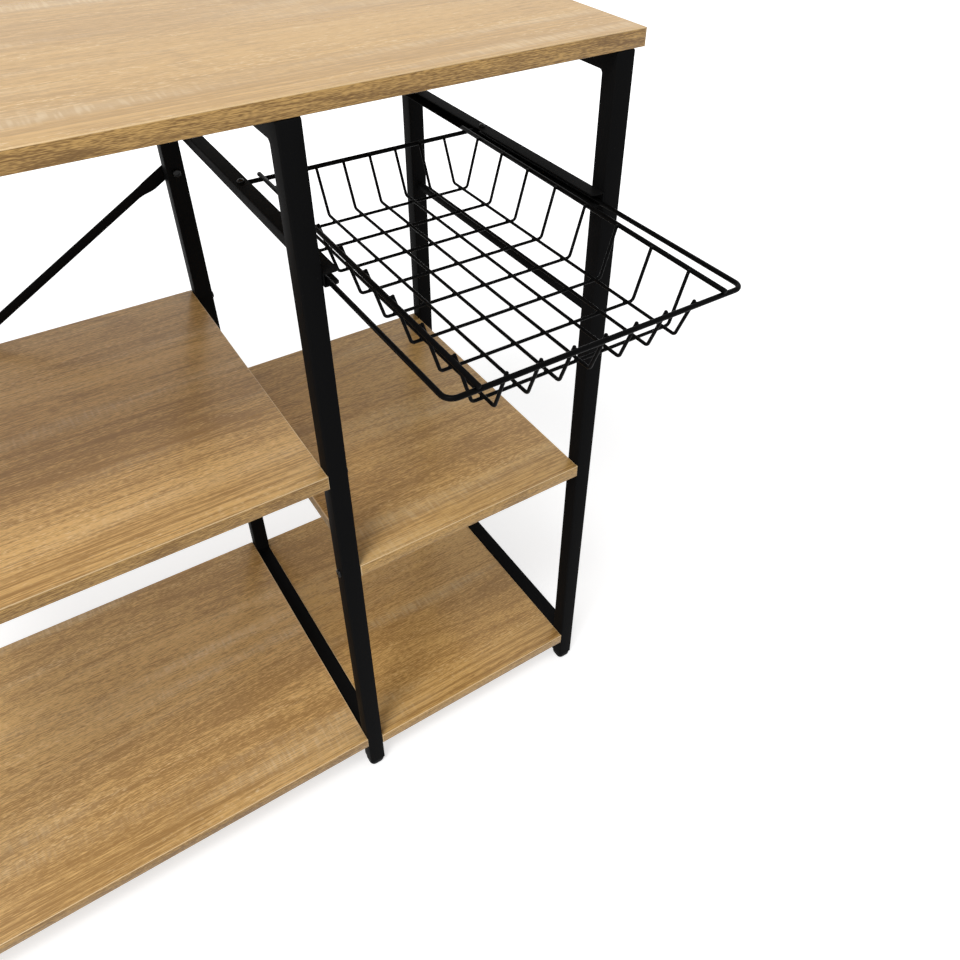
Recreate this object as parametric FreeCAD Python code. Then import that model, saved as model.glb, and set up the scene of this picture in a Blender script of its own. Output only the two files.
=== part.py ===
import FreeCAD, Part
import math
import os

from FreeCAD import Vector

# A kitchen rack: boards screwed between three tubular side frames, a crossed brace behind the
# wide left bay, and a wire basket that slides in two channel rails in the narrow right bay.
# Sizes are in millimetres. +X is right, +Y is back, +Z is up, and Z = 0 is the floor.
# Everything is drawn with Y = 0 on the front face of the frames, and moved at the end so that
# the origin is at the middle of the base.

# Whole rack
worktop_length = 900.0
worktop_overhang = 10.0      # past the outer face of each end frame
rack_depth = 400.0           # boards and frames are flush at front and back
worktop_height = 875.0       # floor to top face
right_bay_width = 286.0      # clear width between the middle and right frames

# Boards
board_thickness = 16.0
band_thickness = 1.0         # edge strip glued to the board
left_shelf_drop = 351.5      # worktop's top face to the shelf's
right_shelf_drop = 489.0

# Side frames
tube = 20.0                  # square tube, outside
tube_wall = 1.2
tube_corner = 1.5            # edge of the tube, taken off at 45 degrees
crossbar_top = 61.0          # floor to the top of the welded lower tube

# Seats of the base boards on the lower tubes
left_base_seat = 9.0         # from the top of the tube down to the left board's underside
seat_thickness = 2.0
seat_length = 25.0           # along X
seat_width = 30.0            # along Y
seat_inset = 100.0           # from front and back of the rack

# Feet
foot_height = 5.0            # part below the tube
foot_plug = 14.0             # part inside the tube
foot_rounding = 4.0          # radius from the sides to the sole
foot_steps = 3               # flat bands in that rounding
plug_clearance = 0.1

# Screws and bolts, drawn six-sided like the holes that they pass through
fastener_sides = 6
shelf_screw_shank = 4.0
shelf_screw_head = 9.0
shelf_screw_bite = 28.0      # length inside the board
board_screw_shank = 3.5
board_screw_head = 7.0
board_screw_bite = 12.0
worktop_screw_inset = 80.0   # from front and back of the rack
screw_head_height = 2.6
screw_clearance = 0.1        # radial, around every shank
bolt_shank = 5.0
bolt_head = 9.5
bolt_end = 1.0               # stands out of the nut
nut_width = 8.0
nut_height = 4.0

# Crossed brace behind the left bay
brace_bolt_drop = 194.5      # worktop's top face to the upper bolts
brace_diameter = 10.0
brace_flat_width = 15.5
brace_flat_thickness = 2.5
brace_end_flat = 30.0        # from the bolt to the taper
brace_middle_flat = 22.0     # from the crossing to the taper
brace_taper = 20.0
brace_sides = 12             # sides of the rods' outline
brace_clearance = 0.3        # between the round part and the back of the rack

# Hanging bar of the right frame
hanging_bar_drop = 282.0     # worktop's top face to the bar's middle
hanging_bar_diameter = 10.0
hanging_bar_wall = 1.0

# Basket rails
rail_drop = 154.5            # worktop's top face to the rails' underside
rail_height = 12.5
rail_width = 14.5
rail_sheet = 1.2
rail_corner = 4.0            # rounding of the flanges at the front
stop_pin = 4.0
stop_pin_head = 7.0
stop_gap = 0.3               # between the pin and the rods that pass or meet it

# Basket, drawn pulled out as far as the stop pins
rim_rod = 4.5
basket_wire = 3.0
weld_gap = 0.1               # between rods and wires that are welded together
slide_clearance = 0.3        # between the rim and the rail's lower flange
rim_offset = 5.2             # frame face to centre of the rim's side rods
rim_front_corner = 9.0       # centre line radius
rim_corner_steps = 3         # straight lengths in each rounded corner
basket_depth = 388.5         # front rod to rear rod, centre to centre
basket_out = 183.0           # frame fronts to the front rod
rod_end = 3.0                # rods stand this far past the rod they are welded on
inner_rod_gap = 23.3         # from side rod to inner rod
basket_drop = 45.5           # front of the inner rods down to the floor's cross wires
side_slope = 13.5            # how far the side walls lean in
front_slope = 14.0           # how far the front wall leans in
rear_slope = 19.0            # how far the rear wall leans in
cross_wire_count = 8
cross_wire_pitch = 45.5
long_wire_count = 7
long_wire_pitch = 29.3

# Directions
RIGHT = Vector(1, 0, 0)
LEFT = Vector(-1, 0, 0)
BACK = Vector(0, 1, 0)
FORWARD = Vector(0, -1, 0)
UP = Vector(0, 0, 1)
DOWN = Vector(0, 0, -1)

# Derived places
tube_half = tube / 2
frame_top = worktop_height - board_thickness
right_frame_x = worktop_length / 2 - worktop_overhang - tube
middle_frame_x = right_frame_x - right_bay_width - tube
left_frame_x = -worktop_length / 2 + worktop_overhang
back_leg_y = rack_depth - tube
left_bay = (left_frame_x + tube, middle_frame_x)
right_bay = (middle_frame_x + tube, right_frame_x)
bay_centre = (right_bay[0] + right_bay[1]) / 2
leg_centres = (tube_half, rack_depth - tube_half)
left_base_bottom = crossbar_top - left_base_seat
right_base_bottom = crossbar_top - tube + seat_thickness
left_shelf_top = worktop_height - left_shelf_drop
right_shelf_top = worktop_height - right_shelf_drop
left_shelf_middle = left_shelf_top - board_thickness / 2
right_shelf_middle = right_shelf_top - board_thickness / 2
seat_rows = (seat_inset, rack_depth - seat_inset)
worktop_screw_rows = (worktop_screw_inset, rack_depth - worktop_screw_inset)

brace_bolt_height = worktop_height - brace_bolt_drop
brace_low_height = 2 * left_shelf_middle - brace_bolt_height
brace_axis_y = rack_depth + brace_clearance + brace_diameter / 2
brace_back = brace_axis_y + brace_diameter / 2
brace_crossing = Vector((left_bay[0] + left_bay[1]) / 2, rack_depth, left_shelf_middle)
brace_screw_tip = brace_crossing + FORWARD * shelf_screw_bite
shelf_screw_length = tube + shelf_screw_bite
base_screw_length = seat_thickness + board_screw_bite
worktop_screw_length = tube + board_screw_bite
brace_screw_length = 2 * brace_flat_thickness + shelf_screw_bite
bolt_length = brace_flat_thickness + tube + nut_height + bolt_end

hanging_bar_height = worktop_height - hanging_bar_drop
rail_bottom = worktop_height - rail_drop
rim_half = right_bay_width / 2 - rim_offset
rim_z = rail_bottom + rail_sheet + slide_clearance + rim_rod / 2
rear_rod_z = rim_z + rim_rod + weld_gap
front_rod_y = -basket_out
rear_rod_y = front_rod_y + basket_depth
basket_middle_y = (front_rod_y + rear_rod_y) / 2
inner_half = rim_half - inner_rod_gap
inner_rod_front_z = rim_z + rim_rod + weld_gap
inner_rod_rear_z = rear_rod_z + rim_rod + weld_gap
weld_offset = rim_rod / 2 + basket_wire / 2 + weld_gap
stop_pin_y = rear_rod_y - rim_rod / 2 - stop_gap - stop_pin / 2
cross_floor_z = inner_rod_front_z - basket_drop
long_floor_z = cross_floor_z + basket_wire + weld_gap

# The middle of the box around the whole rack, basket pulled out
basket_front = front_rod_y - max(rod_end, rim_rod / 2)
base_middle = Vector(0, (basket_front + brace_back) / 2, 0)


def save(name, *solids):
    """Write one node, moved so that the origin is at the middle of the base."""
    shape = solids[0] if len(solids) == 1 else Part.makeCompound(list(solids))
    shape = shape.copy()
    shape.translate(base_middle * -1)
    for solid in shape.Solids:
        if not solid.isValid():
            raise ValueError(name + " is not a valid solid")
    shape.exportStep(os.path.join("parts", name + ".step"))


def block(x, y, z):
    """A box from three (low, high) pairs."""
    return Part.makeBox(x[1] - x[0], y[1] - y[0], z[1] - z[0], Vector(x[0], y[0], z[0]))


def cylinder(start, direction, length, diameter):
    return Part.makeCylinder(diameter / 2, length, start, direction)


def mirrored(shape, x):
    return shape.mirror(RIGHT * x, RIGHT)


def corner_arc(before, corner, after, bend):
    """The arc of radius bend that rounds a corner."""
    towards = (before - corner).normalize()
    away = (after - corner).normalize()
    half_turn = (math.pi - towards.getAngle(away)) / 2
    reach = bend * math.tan(half_turn)
    inward = (towards + away).normalize()
    middle = corner + inward * (bend / math.cos(half_turn) - bend)
    return Part.Arc(corner + towards * reach, middle, corner + away * reach)


def stepped_path(points, bend, steps):
    """Points of a path whose inner corners are rounded in a few straight steps."""
    path = [points[0]]
    for before, corner, after in zip(points, points[1:], points[2:]):
        path += corner_arc(before, corner, after, bend).toShape().discretize(steps + 1)
    return path + [points[-1]]


def mitred_sweep(points, outline):
    """A solid whose outline is carried along straight runs, mitred at each corner."""
    mitred = 1
    return Part.makePolygon(points).makePipeShell([outline], True, False, mitred)


def square_bar(points, side, corner):
    """A square bar along a path that starts upward."""
    return mitred_sweep(points, square_profile(points[0], side, corner, RIGHT, BACK))


def round_rod(points, diameter):
    """A rod of round section."""
    circle = Part.Circle(points[0], points[1] - points[0], diameter / 2)
    return mitred_sweep(points, Part.Wire(circle.toShape()))


def square_profile(centre, side, corner, x_axis, y_axis):
    """A square across the two given directions, with its corners taken off."""
    reach = side / 2
    flat = reach - corner
    places = ((reach, -flat), (reach, flat), (flat, reach), (-flat, reach),
              (-reach, flat), (-reach, -flat), (-flat, -reach), (flat, -reach))
    if corner == 0:
        places = places[1::2]
    points = [centre + x_axis * a + y_axis * b for a, b in places]
    return Part.makePolygon(points + points[:1])


def prism(start, direction, length, width, sides=fastener_sides):
    """A regular prism, width across its flats."""
    across = Vector(direction.z, direction.x, direction.y)
    up = direction.cross(across)
    radius = width / 2 / math.cos(math.pi / sides)
    points = []
    for step in range(sides):
        angle = (step + 0.5) * 2 * math.pi / sides
        points.append(start + across * (radius * math.cos(angle)) + up * (radius * math.sin(angle)))
    return Part.Face(Part.makePolygon(points + points[:1])).extrude(direction * length)


def screw(tip, direction, length, shank, head):
    """A screw with a flat head: tip is where the shank ends."""
    seat = tip - direction * length
    top = prism(seat - direction * screw_head_height, direction, screw_head_height, head)
    return top.fuse(prism(seat, direction, length, shank)).removeSplitter()


def bore(tip, direction, length, shank):
    """The hole that a shank of this length needs, ending where the shank ends."""
    return prism(tip - direction * length, direction, length, shank + 2 * screw_clearance)


def shelf_screw_places():
    """(tip, direction) of the screws that go through the legs into the shelves' ends."""
    places = []
    for bay, height in ((left_bay, left_shelf_middle), (right_bay, right_shelf_middle)):
        for y in leg_centres:
            places.append((Vector(bay[0] + shelf_screw_bite, y, height), RIGHT))
            places.append((Vector(bay[1] - shelf_screw_bite, y, height), LEFT))
    return places


def base_screw_places():
    """(tip, direction) of the screws that go up through the seats into the base boards."""
    places = []
    for bay, bottom in ((left_bay, left_base_bottom), (right_bay, right_base_bottom)):
        for x in (bay[0] + seat_length / 2, bay[1] - seat_length / 2):
            for y in seat_rows:
                places.append((Vector(x, y, bottom + board_screw_bite), UP))
    return places


def worktop_screw_places():
    """(tip, direction) of the screws that go up through the frames into the worktop."""
    places = []
    for x in (left_frame_x, middle_frame_x, right_frame_x):
        for y in worktop_screw_rows:
            places.append((Vector(x + tube_half, y, frame_top + board_screw_bite), UP))
    return places


def brace_bolt_places():
    """Centres of the brace's bolts on the back face of the rear legs."""
    places = []
    for x in (left_frame_x + tube_half, middle_frame_x + tube_half):
        for z in (brace_low_height, brace_bolt_height):
            places.append(Vector(x, rack_depth, z))
    return places


def screw_holes():
    """Every hole that a screw or bolt needs in boards and frames."""
    holes = []
    for tip, direction in shelf_screw_places():
        holes.append(bore(tip, direction, shelf_screw_length, shelf_screw_shank))
    for tip, direction in base_screw_places():
        holes.append(bore(tip, direction, base_screw_length, board_screw_shank))
    for tip, direction in worktop_screw_places():
        holes.append(bore(tip, direction, worktop_screw_length, board_screw_shank))
    for centre in brace_bolt_places():
        holes.append(bore(centre, BACK, tube, bolt_shank))
    holes.append(bore(brace_screw_tip, FORWARD, shelf_screw_bite, shelf_screw_shank))
    return Part.makeCompound(holes)


def make_boards(holes):
    """Boards with their glued edge strips: the shelves' ends stay bare against the frames."""
    depth = (0, rack_depth)
    core_depth = (band_thickness, rack_depth - band_thickness)
    strips_y = ((0, band_thickness), (rack_depth - band_thickness, rack_depth))
    shelves = (
        ("left_middle_shelf", left_bay, left_shelf_top - board_thickness),
        ("right_middle_shelf", right_bay, right_shelf_top - board_thickness),
        ("left_base_shelf", left_bay, left_base_bottom),
        ("right_base_shelf", right_bay, right_base_bottom),
    )
    for name, width, bottom in shelves:
        height = (bottom, bottom + board_thickness)
        save(name, block(width, core_depth, height).cut(holes))
        strips = [block(width, y, height).cut(holes) for y in strips_y]
        save(name + "_edge_band", *strips)

    ends = (-worktop_length / 2, worktop_length / 2)
    core_width = (ends[0] + band_thickness, ends[1] - band_thickness)
    height = (frame_top, worktop_height)
    save("worktop", block(core_width, core_depth, height).cut(holes))
    strips = [block(core_width, y, height) for y in strips_y]
    strips.append(block((ends[0], core_width[0]), depth, height))
    strips.append(block((core_width[1], ends[1]), depth, height))
    save("worktop_edge_band", *strips)


def make_frames(holes):
    """Side frames: tubes mitred and welded to a hoop, with another tube welded between its legs."""
    frames = (("left", left_frame_x), ("middle", middle_frame_x), ("right", right_frame_x))
    inner_side = tube - 2 * tube_wall
    for name, x in frames:
        centre = x + tube_half
        path = [
            Vector(centre, leg_centres[0], foot_height),
            Vector(centre, leg_centres[0], frame_top - tube_half),
            Vector(centre, leg_centres[1], frame_top - tube_half),
            Vector(centre, leg_centres[1], foot_height),
        ]
        hoop = square_bar(path, tube, tube_corner).cut(square_bar(path, inner_side, 0))
        save(name + "_frame_hoop", hoop.cut(holes))

        length = BACK * (back_leg_y - tube)
        start = Vector(centre, tube, crossbar_top - tube_half)
        outside = Part.Face(square_profile(start, tube, tube_corner, RIGHT, UP)).extrude(length)
        inside = Part.Face(square_profile(start, inner_side, 0, RIGHT, UP)).extrude(length)
        bar = outside.cut(inside)
        for y in seat_rows:
            row = (y - seat_width / 2, y + seat_width / 2)
            if name != "right":
                seat = (x + tube - tube_wall, x + tube + seat_length)
                bottom = left_base_bottom if name == "left" else right_base_bottom
                bar = bar.fuse(block(seat, row, (bottom - seat_thickness, bottom)))
            if name != "left":
                seat = (x - seat_length, x + tube_wall)
                bottom = left_base_bottom if name == "middle" else right_base_bottom
                bar = bar.fuse(block(seat, row, (bottom - seat_thickness, bottom)))
        save(name + "_crossbar", bar.cut(holes).removeSplitter())


def rounded_cap(floor):
    """The part of a foot below the tube, rounded from its four sides to the sole."""
    cap = Part.Face(square_profile(floor, tube, tube_corner, RIGHT, BACK)).extrude(UP * foot_height)
    for across, along in ((RIGHT, BACK), (BACK, RIGHT)):
        low = floor - along * tube_half
        curve = []
        for step in range(foot_steps + 1):
            turn = math.pi / 2 * step / foot_steps
            reach = tube_half - foot_rounding * (1 - math.cos(turn))
            curve.append((reach, foot_rounding * (1 - math.sin(turn))))
        curve.insert(0, (tube_half, foot_height))
        left = [low - across * reach + UP * height for reach, height in curve]
        right = [low + across * reach + UP * height for reach, height in reversed(curve)]
        side_view = Part.makePolygon(left + right + left[:1])
        cap = cap.common(Part.Face(side_view).extrude(along * tube))
    return cap


def make_feet():
    """Plastic end caps in the legs."""
    plug_side = tube - 2 * tube_wall - 2 * plug_clearance
    for side, x in (("left", left_frame_x), ("middle", middle_frame_x), ("right", right_frame_x)):
        for end, y in zip(("front", "rear"), leg_centres):
            floor = Vector(x + tube_half, y, 0)
            cap = rounded_cap(floor)
            seat = floor + UP * foot_height
            plug = Part.Face(square_profile(seat, plug_side, 0, RIGHT, BACK)).extrude(UP * foot_plug)
            save(side + "_" + end + "_foot", cap.fuse(plug).removeSplitter())


def section(x, y, half_width, half_depth):
    """An outline across X: round when both halves are equal, else pressed flat."""
    rounding = min(half_width, half_depth)
    straight = half_width - rounding
    points = []
    for step in range(brace_sides):
        angle = (step + 0.5) * 2 * math.pi / brace_sides
        height = math.copysign(straight, math.sin(angle)) + rounding * math.sin(angle)
        points.append(Vector(x, y + rounding * math.cos(angle), height))
    return Part.makePolygon(points + points[:1])


def brace_rod(half_length, middle_y):
    """A round bar along X whose ends and middle are pressed flat."""
    radius = brace_diameter / 2
    half_flat = brace_flat_thickness / 2
    half_width = brace_flat_width / 2
    end_y = rack_depth + half_flat
    middle_end = brace_middle_flat
    bar_start = middle_end + brace_taper
    bar_end = half_length - brace_end_flat - brace_taper
    end_start = half_length - brace_end_flat

    def middle_section(x):
        return section(x, middle_y, half_width, half_flat)

    def end_section(x):
        return section(x, end_y, half_width, half_flat)

    def bar_section(x):
        return section(x, brace_axis_y, radius, radius)

    rod = Part.makeLoft([middle_section(-middle_end), middle_section(middle_end)], True, True)
    for side in (-1, 1):
        stations = (
            (middle_section(side * middle_end), bar_section(side * bar_start)),
            (bar_section(side * bar_start), bar_section(side * bar_end)),
            (bar_section(side * bar_end), end_section(side * end_start)),
            (end_section(side * end_start), end_section(side * half_length)),
        )
        for first, last in stations:
            rod = rod.fuse(Part.makeLoft([first, last], True, True))
        eye = Vector(side * half_length, rack_depth, 0)
        rod = rod.fuse(prism(eye, BACK, brace_flat_thickness, brace_flat_width, brace_sides))
    return rod.removeSplitter()


def make_brace():
    """Two crossed rods, one flat behind the other where they meet at the back of the shelf."""
    span = middle_frame_x - left_frame_x
    rise = brace_bolt_height - brace_low_height
    half_length = math.hypot(span, rise) / 2
    slope = math.degrees(math.atan2(rise, span))
    half_flat = brace_flat_thickness / 2
    rods = (("rising_brace", slope, rack_depth + half_flat),
            ("falling_brace", -slope, rack_depth + 3 * half_flat))
    depth = 2 * brace_flat_thickness
    holes = [bore(centre + BACK * depth, BACK, depth, bolt_shank) for centre in brace_bolt_places()]
    holes.append(bore(brace_crossing + BACK * depth, BACK, depth, shelf_screw_shank))
    for name, angle, middle_y in rods:
        rod = brace_rod(half_length, middle_y)
        rod.Placement = FreeCAD.Placement(Vector(brace_crossing.x, 0, brace_crossing.z),
                                          FreeCAD.Rotation(BACK, -angle))
        save(name, rod.cut(Part.makeCompound(holes)))

    bolts = []
    nuts = []
    for centre in brace_bolt_places():
        tip = centre + BACK * (brace_flat_thickness - bolt_length)
        bolts.append(screw(tip, FORWARD, bolt_length, bolt_shank, bolt_head))
        nut = prism(centre + FORWARD * tube, FORWARD, nut_height, nut_width)
        nuts.append(nut.cut(bore(tip, FORWARD, bolt_length, bolt_shank)))
    save("brace_bolts", *bolts)
    save("brace_nuts", *nuts)
    save("brace_centre_screw",
         screw(brace_screw_tip, FORWARD, brace_screw_length, shelf_screw_shank, shelf_screw_head))


def make_fasteners():
    """Screws that hold the boards."""
    shelf = [screw(tip, direction, shelf_screw_length, shelf_screw_shank, shelf_screw_head)
             for tip, direction in shelf_screw_places()]
    save("shelf_screws", *shelf)
    base = [screw(tip, direction, base_screw_length, board_screw_shank, board_screw_head)
            for tip, direction in base_screw_places()]
    save("base_shelf_screws", *base)
    worktop = [screw(tip, direction, worktop_screw_length, board_screw_shank, board_screw_head)
               for tip, direction in worktop_screw_places()]
    save("worktop_screws", *worktop)


def make_hanging_bar():
    """Round tube between the legs of the right frame."""
    start = Vector(right_frame_x + tube_half, tube, hanging_bar_height)
    length = back_leg_y - tube
    bar = cylinder(start, BACK, length, hanging_bar_diameter)
    inside = cylinder(start, BACK, length, hanging_bar_diameter - 2 * hanging_bar_wall)
    save("right_hanging_bar", bar.cut(inside))


def make_rails():
    """Channel rails welded to the legs, open towards the bay and closed at the back."""
    x = right_bay[0]
    width = (x, x + rail_width)
    height = (rail_bottom, rail_bottom + rail_height)
    rail = block(width, (0, rack_depth), height)
    front = [edge for edge in rail.Edges
             if edge.BoundBox.XMin > width[1] - rail_sheet and edge.BoundBox.YMax < rail_sheet]
    rail = rail.makeFillet(rail_corner, front)
    hollow = block((width[0] + rail_sheet, width[1] + rail_sheet), (-rail_sheet, rack_depth - rail_sheet),
                   (height[0] + rail_sheet, height[1] - rail_sheet))
    pin_tip = Vector(x + rail_width / 2, stop_pin_y, rim_z + rim_rod / 2 + stop_gap)
    pin_length = height[1] - pin_tip.z
    rail = rail.cut(hollow).cut(bore(pin_tip, DOWN, pin_length, stop_pin))
    pin = screw(pin_tip, DOWN, pin_length, stop_pin, stop_pin_head)
    save("left_basket_rail", rail)
    save("right_basket_rail", mirrored(rail, bay_centre))
    save("basket_stop_pins", pin, mirrored(pin, bay_centre))


def wall_foot(rod, foot):
    """The two ends of a leaning wall wire that is welded beside a rod.

    Places are (across, height) pairs, and foot is given from the wire's own place at the rod."""
    lean = math.atan2(abs(foot[0]), rod[1] - foot[1])
    side = math.copysign(1, foot[0])
    at_rod = rod[0] + side * weld_offset / math.cos(lean)
    bottom = (at_rod + foot[0], foot[1])
    rise = rim_rod / 2
    top = (at_rod - side * rise * math.tan(lean), rod[1] + rise)
    return top, bottom


def make_basket():
    """Wire basket: a rim that runs in the rails, rods across it, and wires bent into a tray."""
    sides = (bay_centre - rim_half, bay_centre + rim_half)
    side_end = rear_rod_y + rod_end
    corners = [Vector(sides[0], side_end, rim_z), Vector(sides[0], front_rod_y, rim_z),
               Vector(sides[1], front_rod_y, rim_z), Vector(sides[1], side_end, rim_z)]
    corners = stepped_path(corners, rim_front_corner, rim_corner_steps)
    save("basket_rim", round_rod(corners, rim_rod))
    start = Vector(sides[0] - rim_rod / 2, rear_rod_y, rear_rod_z)
    save("basket_rear_rod", cylinder(start, RIGHT, 2 * rim_half + rim_rod, rim_rod))

    climb = (inner_rod_rear_z - inner_rod_front_z) / basket_depth
    for name, side in (("left", -1), ("right", 1)):
        x = bay_centre + side * inner_half
        start = Vector(x, front_rod_y - rod_end, inner_rod_front_z - climb * rod_end)
        end = Vector(x, rear_rod_y + rod_end, inner_rod_rear_z + climb * rod_end)
        rod = cylinder(start, end - start, (end - start).Length, rim_rod)
        save("basket_" + name + "_inner_rod", rod)

    first_y = basket_middle_y - cross_wire_pitch * (cross_wire_count - 1) / 2
    for index in range(cross_wire_count):
        y = first_y + index * cross_wire_pitch
        rod_z = inner_rod_front_z + climb * (y - front_rod_y)
        top, bottom = wall_foot((-inner_half, rod_z), (side_slope, cross_floor_z))
        points = [Vector(bay_centre + top[0], y, top[1]), Vector(bay_centre + bottom[0], y, bottom[1]),
                  Vector(bay_centre - bottom[0], y, bottom[1]), Vector(bay_centre - top[0], y, top[1])]
        save("basket_cross_wire_%d" % (index + 1), round_rod(points, basket_wire))

    front_top, front_foot = wall_foot((front_rod_y, rim_z), (front_slope, long_floor_z))
    rear_top, rear_foot = wall_foot((rear_rod_y, rear_rod_z), (-rear_slope, long_floor_z))
    first_x = bay_centre - long_wire_pitch * (long_wire_count - 1) / 2
    for index in range(long_wire_count):
        x = first_x + index * long_wire_pitch
        points = [Vector(x, y, z) for y, z in (front_top, front_foot, rear_foot, rear_top)]
        save("basket_long_wire_%d" % (index + 1), round_rod(points, basket_wire))


def main():
    os.makedirs("parts", exist_ok=True)
    holes = screw_holes()
    make_boards(holes)
    make_frames(holes)
    make_feet()
    make_brace()
    make_fasteners()
    make_hanging_bar()
    make_rails()
    make_basket()


main()
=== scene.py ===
"""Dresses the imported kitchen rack: oak boards, black tube frames and a sliding wire basket."""
import math

import bmesh
import bpy
from bpy.props import FloatProperty, FloatVectorProperty, IntProperty, PointerProperty
from bpy.types import NodeSocket, Operator, Panel, PropertyGroup
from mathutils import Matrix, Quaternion, Vector


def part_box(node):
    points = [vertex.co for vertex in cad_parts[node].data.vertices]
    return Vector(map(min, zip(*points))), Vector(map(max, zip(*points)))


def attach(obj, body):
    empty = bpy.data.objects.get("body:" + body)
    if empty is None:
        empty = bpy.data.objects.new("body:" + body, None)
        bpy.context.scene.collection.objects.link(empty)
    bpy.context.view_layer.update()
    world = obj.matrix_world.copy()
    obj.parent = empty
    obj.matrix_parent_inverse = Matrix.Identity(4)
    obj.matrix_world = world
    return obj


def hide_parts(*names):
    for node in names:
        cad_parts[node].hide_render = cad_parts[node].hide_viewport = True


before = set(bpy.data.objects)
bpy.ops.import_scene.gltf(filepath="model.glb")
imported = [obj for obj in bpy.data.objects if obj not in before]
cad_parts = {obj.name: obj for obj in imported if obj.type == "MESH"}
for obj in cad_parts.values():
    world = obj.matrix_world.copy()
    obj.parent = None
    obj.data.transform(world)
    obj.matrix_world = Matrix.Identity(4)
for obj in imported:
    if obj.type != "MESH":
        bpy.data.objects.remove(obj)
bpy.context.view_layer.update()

bl_info = {
    "name": "Kitchen Rack",
    "version": (1, 0, 0),
    "blender": (4, 5, 0),
    "location": "View3D > Sidebar > Kitchen Rack",
    "description": "Builds a kitchen rack with oak boards, tube frames and a sliding wire basket",
    "category": "Add Mesh",
}

RIGHT = Vector((1, 0, 0))
BACK = Vector((0, 1, 0))
UP = Vector((0, 0, 1))
SIDES = ("left", "middle", "right")
BOARDS = ("worktop", "left_middle_shelf", "right_middle_shelf", "left_base_shelf", "right_base_shelf")

# Faces and edges are picked by a distance, by the share of a direction and by the angle between faces.
NEAR = 1e-5
ALONG = 0.99
# The share of a direction from which the faces of a rounded edge get the painted highlight.
HIGHLIT_SHARE = 0.15
SHARP = 1.0

# Bought parts: diameters of a head and of its socket, then single sizes.
SHELF_HEAD = (0.009, 0.0042)
SMALL_HEAD = (0.007, 0.0034)
BOLT_HEAD = (0.0095, 0.0045)
PIN_HEAD = (0.007, 0.0032)
HEAD_HEIGHT = 0.0026
PIN_DIAMETER = 0.004
NUT_WIDTH = 0.008

# Shares of a piece's own size, and the shape of the brace from its eye to its round part.
HEAD_DOME = 0.7
DOME_PROFILE = 0.55
NUT_CHAMFER = 0.12
NUT_RIM = 0.14
NUT_HOLE = 0.3
RAIL_FOLD = 1.1
BAR_WELD = 0.8
WIRE_LAP = 0.3
END_SOFTENING = 0.16
BEAD_SPACING = 0.62
BEAD_HEIGHT = 0.55
EYE_ANGLES = (12, 35, 60, 90)
TAPER_SHARES = (0.0, 0.3, 0.7, 1.0)

# Each layer of the oak print: density along and across it, then detail, roughness and distortion.
OAK_LAYERS = {
    "broad": ((1.5, 10, 10), 1.5, 0.45, 0.4),
    "medium": ((2.4, 34, 34), 2.0, 0.5, 0.3),
    "line": ((1.3, 300, 300), 1.0, 0.5, 0.0),
    "fine": ((24, 780, 780), 1.0, 0.5, 0.0),
    "dash": ((165, 980, 980), 1.0, 0.5, 0.0),
    "pore": ((70, 1400, 1400), 0.0, 0.5, 0.0),
    "fleck": ((330, 42, 42), 0.0, 0.5, 0.0),
    "patch": ((2.6, 25, 25), 1.0, 0.5, 0.0),
}

# How the layers join: limits between which a layer shows, its weight, and pairs of factor and offset.
BROAD_TONE = 1.2
MEDIUM_TONE = 0.6
TONE_RANGE = (-0.62, 0.52)
RING_COUNT = 62.0
RING_WAVER = 3.0
RING_LINE = (0.62, 1.0)
RING_TONE = -0.26
STRAIGHT_FRONT = (-0.050, -0.090)
STRAIGHT_LINES = (1.7, 0.25)
STRAIGHT_DASHES = (-0.65, 1.0)
PORE_LINE = (0.56, 0.70)
PORE_ZONE = (0.66, 0.40)
HAZE_PATCH = (0.50, 0.82)
HAZE_TONE = 0.45
BAR_LINE = (0.42, 0.74)
BAR_TONE = 0.55
GLINT_LINE = (0.58, 0.74)
GLINT_ZONE = (0.48, 0.64)
PORE_RELIEF = -0.8
OAK_GLOSS = (0.10, 0.24)
PORE_GLOSS = 0.10
OAK_SPECULAR = 0.32
OAK_COLOURS = ("Pale", "Dark", "Cream")
OAK_AMOUNTS = ("Pores", "Dashes", "Lines", "Flecks", "Straight")
RELIEF_STRENGTH = 0.5

# Each oak print: amounts of pores, dashes, lines, flecks and straight front, then the depth of its relief.
OAK_PRINTS = {
    "shelf": ((1.0, 2.1, 2.0, 0.5, 1.0), 0.00005),
    "worktop": ((0.8, 1.6, 2.0, 0.7, 1.0), 0.00005),
    "band": ((1.0, 2.3, 1.9, 0.0, 0.0), 0.00012),
    # The arris print is the painted highlight on the rounded board edges.
    "arris": ((0.3, 1.0, 0.8, 0.0, 1.0), 0.00005),
}
BAND_DENSITY = (1.1, 1.6, 1.6)

# Each black finish: density of its skin, roughness, depth of the skin, specular level and metallic.
COATINGS = {
    "black_coat": (1500.0, 0.40, 0.00003, 0.008, 0.0),
    "wire_coat": (1100.0, 0.30, 0.00003, 0.03, 0.0),
    "foot_plastic": (2600.0, 0.55, 0.00004, 0.08, 0.0),
    "black_zinc": (2200.0, 0.26, 0.00002, 0.4, 0.6),
}

# Dust and clouds on the black finishes, chips in the bare board ends, and the painted highlight on the
# rounded board edges.
DUST = (0.5, 0.48, 0.45, 1.0)
DUST_AMOUNT = 0.035
DUST_SPECK = (0.14, 0.05)
DUST_ZONE = (0.58, 0.74)
SPECK_DENSITY = 190.0
CLOUD_DENSITY = 14.0
CLOUD_GLOSS = 0.14
PEBBLE_SHADE = (0.5, 0.75)
CHIP_DENSITY = 420.0
CHIP_DEPTH = 0.0003
CHIP_RELIEF = 0.6
CHIP_DARK = 0.45
# A paler, creamier copy of the oak on the rounded edges: a painted highlight.
ARRIS_HIGHLIGHT_CREAM = 0.45
ARRIS_HIGHLIGHT_DARK = 0.8

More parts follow.
